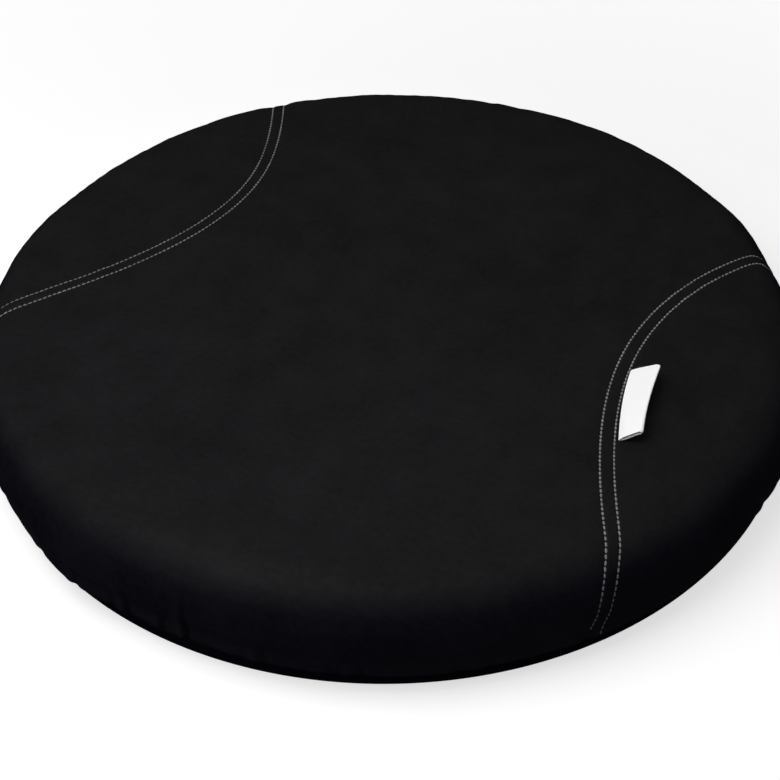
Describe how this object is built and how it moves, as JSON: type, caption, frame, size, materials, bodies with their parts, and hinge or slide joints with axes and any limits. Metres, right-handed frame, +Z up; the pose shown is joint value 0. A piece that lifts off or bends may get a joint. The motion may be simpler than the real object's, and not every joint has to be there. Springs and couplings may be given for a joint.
{
  "type": "swivel seat cushion",
  "caption": "Round padded seat cushion that turns on a flat moulded base with a ring of bearing balls, under a black fabric cover in panels with twin-stitched curved seams.",
  "frame": {"origin": "on the turning axis, in the middle of the mat's underside, on the surface that the cushion stands on", "axes": "+Z up along the turning axis; the centre panel of the cover runs along Y; the side panel that holds the label is at +X"},
  "size_m": [0.4, 0.4, 0.0581],
  "materials": {
    "mat_rubber": "matt, grooved",
    "base_plastic": "moulded black plastic, satin",
    "plate_plastic": "moulded black plastic",
    "cage_plastic": "natural white plastic",
    "bush_plastic": "smooth white plastic",
    "bearing_steel": "polished steel",
    "zinc_steel": "zinc plated",
    "foam": "open-cell foam",
    "cover_fabric": "fine black woven fabric, matt",
    "hem_fabric": "black binding tape",
    "elastic": "covered elastic cord",
    "label_tape": "bare white woven tape"
  },
  "bodies": {
    "base": {"grip_mat": "mat_rubber", "base_disc": "base_plastic", "pivot_bolt": "zinc_steel", "pivot_bush": "bush_plastic", "pivot_washer": "zinc_steel", "lock_nut": "zinc_steel"},
    "cage": {"ball_cage": "cage_plastic", "ball_01": "bearing_steel", "ball_02": "bearing_steel", "ball_03": "bearing_steel", "ball_04": "bearing_steel", "ball_05": "bearing_steel", "ball_06": "bearing_steel", "ball_07": "bearing_steel", "ball_08": "bearing_steel", "ball_09": "bearing_steel", "ball_10": "bearing_steel", "ball_11": "bearing_steel", "ball_12": "bearing_steel", "ball_13": "bearing_steel", "ball_14": "bearing_steel", "ball_15": "bearing_steel", "ball_16": "bearing_steel", "ball_17": "bearing_steel", "ball_18": "bearing_steel", "ball_19": "bearing_steel", "ball_20": "bearing_steel"},
    "seat": {"turntable_plate": "plate_plastic", "foam_core": "foam", "cover_centre_panel": "cover_fabric", "cover_left_panel": "cover_fabric", "cover_right_panel": "cover_fabric", "hem_binding": "hem_fabric", "hem_elastic": "elastic", "folded_label": "label_tape"}
  },
  "joints": [
    {"name": "seat_swivel", "type": "hinge", "parent": "base", "child": "seat", "pos_m": [0, 0, 0], "axis": [0, 0, 1], "continuous": true},
    {"name": "cage_roll", "type": "hinge", "parent": "base", "child": "cage", "pos_m": [0, 0, 0], "axis": [0, 0, 1], "continuous": true}
  ],
  "couplings": [
    {"joint": "cage_roll", "follows": "seat_swivel", "ratio": 0.5}
  ]
}
